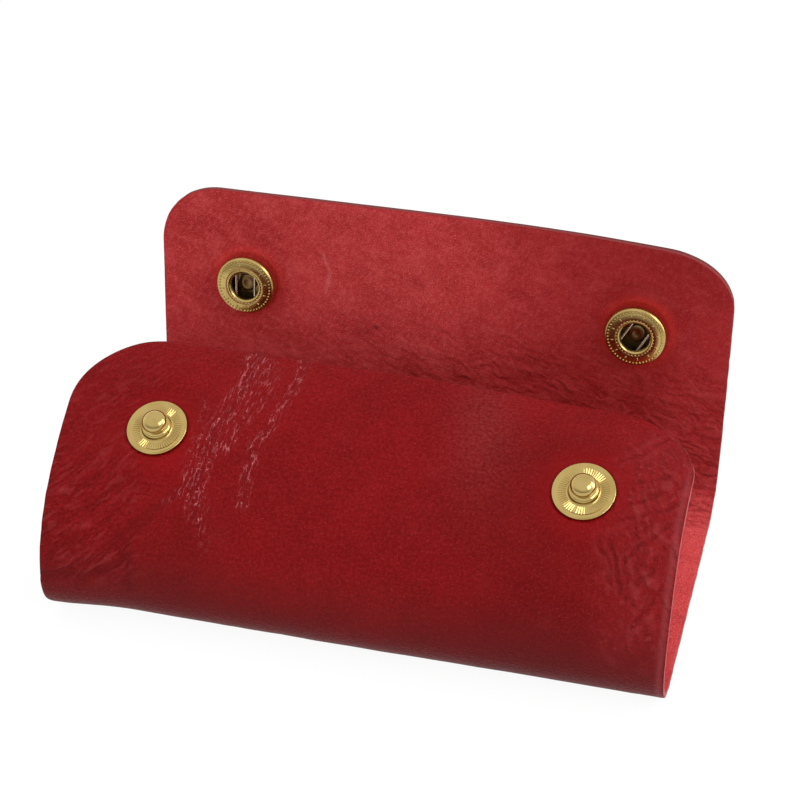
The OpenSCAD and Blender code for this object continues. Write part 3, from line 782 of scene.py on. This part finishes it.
def turned_mesh(name, outline, closed=False, segments=96):
    """A mesh turned round Z from an outline of (r, z) in mm, from its lowest pole up."""
    mesh, points, faces, rings_of = bpy.data.meshes.new(name), [], [], []
    for r, z in outline:
        count = segments if r > 0 else 1
        rings_of.append([len(points) + (j if count > 1 else 0) for j in range(segments + 1)])
        if count > 1:
            rings_of[-1][-1] = len(points)
        points += [
            (r * math.cos(turn) * MM, r * math.sin(turn) * MM, z * MM)
            for turn in (2 * math.pi * j / segments for j in range(count))]
    pairs = list(zip(rings_of, rings_of[1:] + rings_of[:1]))
    for low, high in pairs if closed else pairs[:-1]:
        for j in range(segments):
            face = [low[j], low[j + 1], high[j + 1], high[j]]
            faces.append([p for k, p in enumerate(face) if p != face[k - 1]])
    mesh.from_pydata(points, [], faces)
    mesh.shade_smooth()
    mesh.set_sharp_from_angle(angle=math.radians(38))
    return mesh


def ring_tree():
    """Geometry Nodes: a ring of beads or of straight ridges that point outwards."""
    tree = bpy.data.node_groups.new("ring_of_marks", "GeometryNodeTree")
    face = tree.interface
    face.new_socket("Piece", in_out="INPUT", socket_type="NodeSocketGeometry")
    for name, kind in (
        ("Count", "Int"), ("Ring radius", "Float"), ("Height on piece", "Float"),
        ("Mark size", "Vector"), ("First turn", "Float"), ("Ridged", "Bool"),
        ("Finish", "Material"),
    ):
        face.new_socket(name, in_out="INPUT", socket_type="NodeSocket" + kind)
    face.new_socket("Piece", in_out="OUTPUT", socket_type="NodeSocketGeometry")

    def node(kind, inputs=None, **settings):
        new = tree.nodes.new(kind)
        for name, value in settings.items():
            setattr(new, name, value)
        for name, value in (inputs or {}).items():
            if isinstance(value, bpy.types.NodeSocket):
                tree.links.new(value, new.inputs[name])
            else:
                new.inputs[name].default_value = value
        return new

    given = node("NodeGroupInput").outputs
    circle = node(
        "GeometryNodeMeshCircle", {"Vertices": given["Count"], "Radius": given["Ring radius"]})
    lift = node("ShaderNodeCombineXYZ", {"Z": given["Height on piece"]})
    spin = node("ShaderNodeCombineXYZ", {"Z": given["First turn"]})
    placed = node("GeometryNodeTransform", {
        0: circle.outputs[0], "Translation": lift.outputs[0], "Rotation": spin.outputs[0]})
    position = node("GeometryNodeInputPosition")
    outwards = node(
        "ShaderNodeVectorMath", {0: position.outputs[0], 1: (1, 1, 0)}, operation="MULTIPLY")
    facing = node(
        "FunctionNodeAlignRotationToVector", {"Vector": outwards.outputs[0]},
        axis="X", pivot_axis="Z")
    bead = node("GeometryNodeMeshUVSphere", {"Segments": 8, "Rings": 5, "Radius": 1.0})
    bead = node("GeometryNodeSetShadeSmooth", {0: bead.outputs[0], "Shade Smooth": True})
    ridge = node("GeometryNodeMeshCube", {"Size": (2, math.sqrt(2), math.sqrt(2))})
    ridge = node("GeometryNodeSetShadeSmooth", {0: ridge.outputs[0], "Shade Smooth": False})
    ridge = node("GeometryNodeTransform", {0: ridge.outputs[0], "Rotation": (math.pi / 4, 0, 0)})
    mark = node("GeometryNodeSwitch", {
        "Switch": given["Ridged"], "False": bead.outputs[0], "True": ridge.outputs[0],
    }, input_type="GEOMETRY")
    marks_on = node("GeometryNodeInstanceOnPoints", {
        "Points": placed.outputs[0], "Instance": mark.outputs[0],
        "Rotation": facing.outputs[0], "Scale": given["Mark size"]})
    both = node("GeometryNodeJoinGeometry")
    tree.links.new(marks_on.outputs[0], both.inputs[0])
    tree.links.new(given["Piece"], both.inputs[0])
    real = node("GeometryNodeRealizeInstances", {0: both.outputs[0]})
    finished = node("GeometryNodeSetMaterial", {0: real.outputs[0], "Material": given["Finish"]})
    node("NodeGroupOutput", {0: finished.outputs[0]})
    return tree


def brass(name, gloss_low, gloss_high):
    """Pale plated brass: faint clouds of tarnish and fine polishing lines."""
    finish = Finish(bpy.data.materials.new(name))
    places = finish.add("ShaderNodeTexCoord", out="Object")
    tarnish = finish.noise(places, 3.1 * MM, 3)
    hairlines = finish.noise(finish.stretched(places, 5, 1, 30), 0.12 * MM, 2)
    colour = finish.mix(finish.rise(tarnish, 0.35, 0.7), (0.53, 0.385, 0.14), (0.47, 0.33, 0.11))
    gloss = (
        finish.rise(tarnish, 0.3, 0.75, gloss_low, gloss_high)
        + 0.06 * finish.rise(hairlines, 0.5, 0.7))
    finish.surface(
        Base_Color=colour, Metallic=1.0, Roughness=gloss, Normal=finish.bump(hairlines, 0.004))
    return finish


brass_finish, coined_finish = brass("pale_brass", 0.09, 0.18), brass("coined_brass", 0.2, 0.3)

# Inside the snaps the brass is not buffed and is darker brown: partly its own dull tarnish, partly
# painted shade of the hollow.
dull_finish = Finish(bpy.data.materials.new("dull_brass"))
d = dull_finish
dulled = d.noise(d.add("ShaderNodeTexCoord", out="Object"), 1.1 * MM, 3)
d.surface(
    Base_Color=d.mix(dulled, (0.28, 0.19, 0.08), (0.19, 0.125, 0.045)), Metallic=1.0,
    Roughness=d.rise(dulled, 0.3, 0.7, 0.28, 0.4), Normal=d.bump(dulled, 0.01))
marks_tree = ring_tree()


def snap_matrix(side, s, faces_out):
    """Place of a snap on the sheet: local Z away from the leather, local Y up the flap."""
    y, z, turn = snap_place(s)
    facing = Vector((0, math.sin(turn), -math.cos(turn))) * (1 if faces_out else -1)
    up_flap = Vector((1, 0, 0)).cross(facing) * -1
    spot = Vector((side * snap_x, y, z)) + facing * snap_rise
    turn_part = Matrix((Vector((1, 0, 0)), up_flap, facing)).transposed().to_4x4()
    return Matrix.Translation(spot * MM) @ turn_part


def set_plain(piece):
    """Gives a piece the mesh that its modifiers make, and removes them."""
    bpy.context.view_layer.update()
    made = piece.evaluated_get(bpy.context.evaluated_depsgraph_get())
    plain = bpy.data.meshes.new_from_object(made)
    piece.modifiers.clear()
    piece.data = plain
    return plain


def snap_piece(name, mesh, place, rings_on, body, node, finish=brass_finish, dull_r=0, dull_z=0):
    """A turned snap part with its rings of marks, set in place on the leather."""
    piece = in_scene(name, mesh)
    mesh.materials.append(finish.owner)
    for values in rings_on:
        ring = piece.modifiers.new("ring", "NODES")
        ring.node_group = marks_tree
        values = {**values, "Finish": finish.owner}
        for item in marks_tree.interface.items_tree:
            if item.in_out == "INPUT" and item.name in values:
                ring[item.identifier] = values[item.name]
    if rings_on:
        set_plain(piece)
    piece.data.materials.append(dull_finish.owner)
    for face in piece.data.polygons:
        at = face.center
        if math.hypot(at.x, at.y) < dull_r * MM and 0 < at.z < dull_z * MM:
            face.material_index = len(piece.data.materials) - 1
    piece.data.transform(place)
    piece.data.update()
    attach(piece, body)
    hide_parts(node)
    return piece


stud_outline = [
    (0, 3.15), (post_r + 0.05, 3.15), (post_r + 0.05, 0), *arc(5.63, 0.12, 0.12, -90, 0, 4),
    *arc(5.6, 0.58, 0.15, 0, 120, 6), (5.42, 0.69), (5.25, 0.672), (4.85, 0.655), (4.75, 0.64),
    (4.68, 0.61), (4.6, 0.60), (3.5, 0.56), (3.2, 0.57), (3.0, 0.62), (2.86, 0.74), (2.80, 0.95),
    (2.77, 1.2), (2.68, 1.42), (2.52, 1.59), (2.28, 1.70), (2.0, 1.77), (1.82, 1.87), (1.75, 1.97),
    *[
        (head_r * math.cos(a), head_mid + (stud_h - head_mid if a > 0 else head_low) * math.sin(a))
        for a in np.radians(np.arange(-42, 89, 6))
    ],
    (0, stud_h),
]
post_outline = [
    (0, -grip - 0.7), (4.25, -grip - 0.7), *arc(4.3, -grip - 0.4, 0.3, -80, 0, 5),
    (4.6, -grip - 0.05), (4.55, -grip), (post_r, -grip), (post_r, 2.86), (0, 2.94),
]
stud_ribs = {
    "Count": 58, "Ring radius": 3.95 * MM, "Height on piece": 0.575 * MM,
    "Mark size": (0.72 * MM, 0.175 * MM, 0.11 * MM), "First turn": 0.03, "Ridged": True,
}
for side, hand in ((-1, "left"), (1, "right")):
    place = snap_matrix(side, stud_s, True)
    snap_piece(
        f"stud_{hand}", turned_mesh("stud", stud_outline), place, [stud_ribs],
        "front_flap", f"{hand}_stud")
    snap_piece(
        f"stud_post_{hand}", turned_mesh("post", post_outline), place, [],
        "front_flap", f"{hand}_stud_post")

# Sockets: brass drums with a rolled rim and mouth, a coined face with beaded borders and
# plain pips, and two spring wires that grip the stud's head. A domed cap outside the top
# flap carries the post that is flared inside the drum.
socket_h, mouth_z, cap_h, groove_r = 3.4, 2.75, 1.7, 4.5
socket_outline = [
    (post_r + 0.05, 0), (4.9, 0), (5.35, 0.45), (5.75, 0.95), (6.0, 1.4), (6.13, 1.75), (6.2, 2.1),
    (6.19, 2.38), (6.13, 2.6), (6.03, 2.78), (5.9, 2.92), (5.76, 3.01), (5.62, 3.06), (5.2, 3.11),
    (5.06, 3.18), (4.7, 3.26), (4.3, 3.32), (4.0, 3.35), (3.88, 3.34), (3.82, 3.31), (3.6, 3.32),
    (3.54, 3.37), (3.45, 3.4), (3.33, 3.38), (3.2, 3.31), (3.08, 3.18), (2.97, 3.0), (2.89, 2.8),
    (2.87, 2.66), (2.92, 2.6), (groove_r, 2.6), (groove_r, 0.6), (post_r + 0.05, 0.6),
]
cap_outline = [
    (0, -grip - cap_h), (1.4, -grip - 1.69), (2.8, -grip - 1.63), (4.0, -grip - 1.51),
    (4.9, -grip - 1.33), (5.55, -grip - 1.1), (5.95, -grip - 0.84), (6.17, -grip - 0.56),
    (6.25, -grip - 0.3), (6.22, -grip - 0.06), (6.1, -grip), (post_r, -grip), (post_r, 0.66),
    (1.7, 0.66), *arc(1.7, 0.84, 0.18, -60, 60, 5),
    (1.35, 1.06), (1.0, 1.12), (0.7, 1.09), (0.45, 1.0), (0, 0.97),
]
face_marks = [
    {"Count": count, "Ring radius": ring_r * MM, "Height on piece": height * MM,
     "Mark size": tuple(size * MM for size in sizes), "First turn": 0.2, "Ridged": False}
    for count, ring_r, height, sizes in (
        (50, 5.4, 3.1, (0.24, 0.2, 0.22)), (34, 3.71, 3.31, (0.17, 0.18, 0.16)),
        (12, 4.55, 3.28, (0.36, 0.15, 0.15)))
]
for side, hand in ((-1, "left"), (1, "right")):
    place = snap_matrix(side, socket_s, False)
    snap_piece(
        f"socket_{hand}", turned_mesh("socket", socket_outline, True), place, face_marks,
        "top_flap", f"{hand}_socket", coined_finish, groove_r + 0.1, mouth_z)
    snap_piece(
        f"cap_{hand}", turned_mesh("cap", cap_outline), place, [],
        "top_flap", f"{hand}_cap", brass_finish, groove_r, socket_h)

# Socket springs: in each socket two bent wires of drawn spring steel, which lie in its
# groove and grip the stud's head. The CAD's own wires are shown, with this finish.
# The steel's warm pale colour is partly a painted reflection of the brass inside the sockets.
spring_finish = Finish(bpy.data.materials.new("spring_steel"))
w = spring_finish
places = w.add("ShaderNodeTexCoord", out="Object")
drawn = w.noise(places, 0.6 * MM, 3)
w.surface(
    Base_Color=w.mix(drawn, (0.78, 0.71, 0.56), (0.62, 0.56, 0.44)), Metallic=1.0,
    Roughness=w.rise(drawn, 0.3, 0.7, 0.22, 0.34))
for hand in ("left", "right"):
    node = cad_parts[f"{hand}_socket_spring"]
    node.data.materials.clear()
    node.data.materials.append(spring_finish.owner)

# Key hardware: a plated plate held to the back panel by two tubular rivets, with
# knuckles that carry a bar, and on it four bent hooks, each closed by a steel tongue.
arris = 0.14


def eased_copy(node_name, finish, body, width=arris):
    """A CAD part with its arrises rounded, as stamping and tumbling leave them."""
    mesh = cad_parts[node_name].data.copy()
    piece = in_scene(node_name + "_eased", mesh)
    weld = piece.modifiers.new("weld", "WELD")
    weld.merge_threshold = 0.002 * MM
    flatten = piece.modifiers.new("flatten", "DECIMATE")
    flatten.decimate_type, flatten.angle_limit = "DISSOLVE", math.radians(1)
    ease_off = piece.modifiers.new("ease", "BEVEL")
    ease_off.width, ease_off.segments, ease_off.limit_method = width * MM, 2, "ANGLE"
    ease_off.angle_limit = math.radians(35)
    ease_off.use_clamp_overlap, ease_off.harden_normals = True, False
    plain = set_plain(piece)
    plain.shade_smooth()
    plain.set_sharp_from_angle(angle=math.radians(30))
    plain.materials.clear()
    plain.materials.append(finish.owner)
    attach(piece, body)
    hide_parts(node_name)
    return piece


for name in ("key_plate", "hook_bar", "front_rivet", "rear_rivet"):
    eased_copy(name, brass_finish, "back")
for n in (1, 2, 3, 4):
    eased_copy(f"key_hook_{n}", brass_finish, f"hook_{n}")
    eased_copy(f"hook_tongue_{n}", spring_finish, f"tongue_{n}", 0.08)

# Studio: a white table in an evenly lit white room, with a tall and a square softbox to the
# right that draw the bright lines on the metal.
floor_size, floor_gap = 4.0, 0.0002
floor_mesh = bpy.data.meshes.new("white_table")
floor_mesh.from_pydata([
    (x * floor_size / 2, y * floor_size / 2, -floor_gap)
    for x, y in ((-1, -1), (1, -1), (1, 1), (-1, 1))
], [], [(0, 1, 2, 3)])
white_table = in_scene("white_table", floor_mesh)
white_table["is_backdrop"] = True


def seen_directly(finish):
    """1 for what the camera, a polished surface or glass shows, 0 for what lights the case."""
    path = finish.add("ShaderNodeLightPath")
    to_camera, in_metal, through_glass = (
        finish.other(path, f"Is {kind} Ray") for kind in ("Camera", "Glossy", "Transmission"))
    return finish.add("ShaderNodeClamp", None, {0: to_camera + in_metal + through_glass})


table_finish = Finish(bpy.data.materials.new("white_table_finish"))
t = table_finish
matt = t.add("ShaderNodeBsdfDiffuse", None, {"Color": (0.82, 0.82, 0.82, 1)})
glow = t.add("ShaderNodeEmission", None, {"Color": (1, 1, 1, 1), "Strength": 1.03})
shown = t.add("ShaderNodeMixShader", None, {0: seen_directly(t) * 0.9, 1: matt, 2: glow})
t.add("ShaderNodeOutputMaterial", None, {"Surface": shown})
floor_mesh.materials.append(table_finish.owner)

# The room: brightest overhead, darker towards the floor, and for the metal a bright far
# side and a dim side behind the camera. What the camera sees of it is plain white.
world_finish = Finish(bpy.data.worlds.new("white_room"))
scene.world = world_finish.owner
r = world_finish
direction = r.add("ShaderNodeSeparateXYZ", None, {0: r.add("ShaderNodeTexCoord")})
side, ahead, height = (r.other(direction, axis) for axis in "XYZ")
path = r.add("ShaderNodeLightPath")
towards_key = -0.5 * side + -0.45 * ahead + 0.74 * height
dome = r.rise(towards_key, -0.6, 1, 0.38, 1.24)
dim_side = r.rise(ahead, -0.2, -0.75) * r.rise(height, 0.6, 0.1)
bright_side = r.rise(ahead, -0.3, 0.4) * r.rise(height, 0.6, 0.1)
reflected = 1 - 0.6 * dim_side + 0.35 * bright_side
in_metal = r.other(path, "Is Glossy Ray")
straight = r.add("ShaderNodeClamp", None, {
    0: r.other(path, "Is Camera Ray") + r.other(path, "Is Transmission Ray")})
strength = dome + in_metal * (reflected - dome)
sky = r.add("ShaderNodeBackground", None, {
    "Color": (1, 1, 1, 1), "Strength": strength + straight * (1 - strength)})
r.add("ShaderNodeOutputWorld", None, {"Surface": sky})


def softbox(name, place, aim, width, height, watts):
    """A soft rectangular lamp that points from its place to where it is aimed."""
    lamp = bpy.data.lights.new(name, "AREA")
    lamp.shape, lamp.size, lamp.size_y, lamp.energy = "RECTANGLE", width, height, watts
    holder = in_scene(name, lamp)
    holder.location = place
    holder.rotation_euler = (Vector(aim) - Vector(place)).to_track_quat("-Z", "Y").to_euler()


softbox("window_softbox", (0.62, 0.14, 0.30), (0, 0, 0.03), 0.28, 0.55, 1.9)
softbox("side_softbox", (0.55, -0.27, 0.52), (0, 0, 0.03), 0.34, 0.34, 1.5)

scene.view_settings.view_transform = "Standard"

seen_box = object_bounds()
{"cad": [list(corner) for corner in cad_box], "seen": [list(corner) for corner in seen_box]}
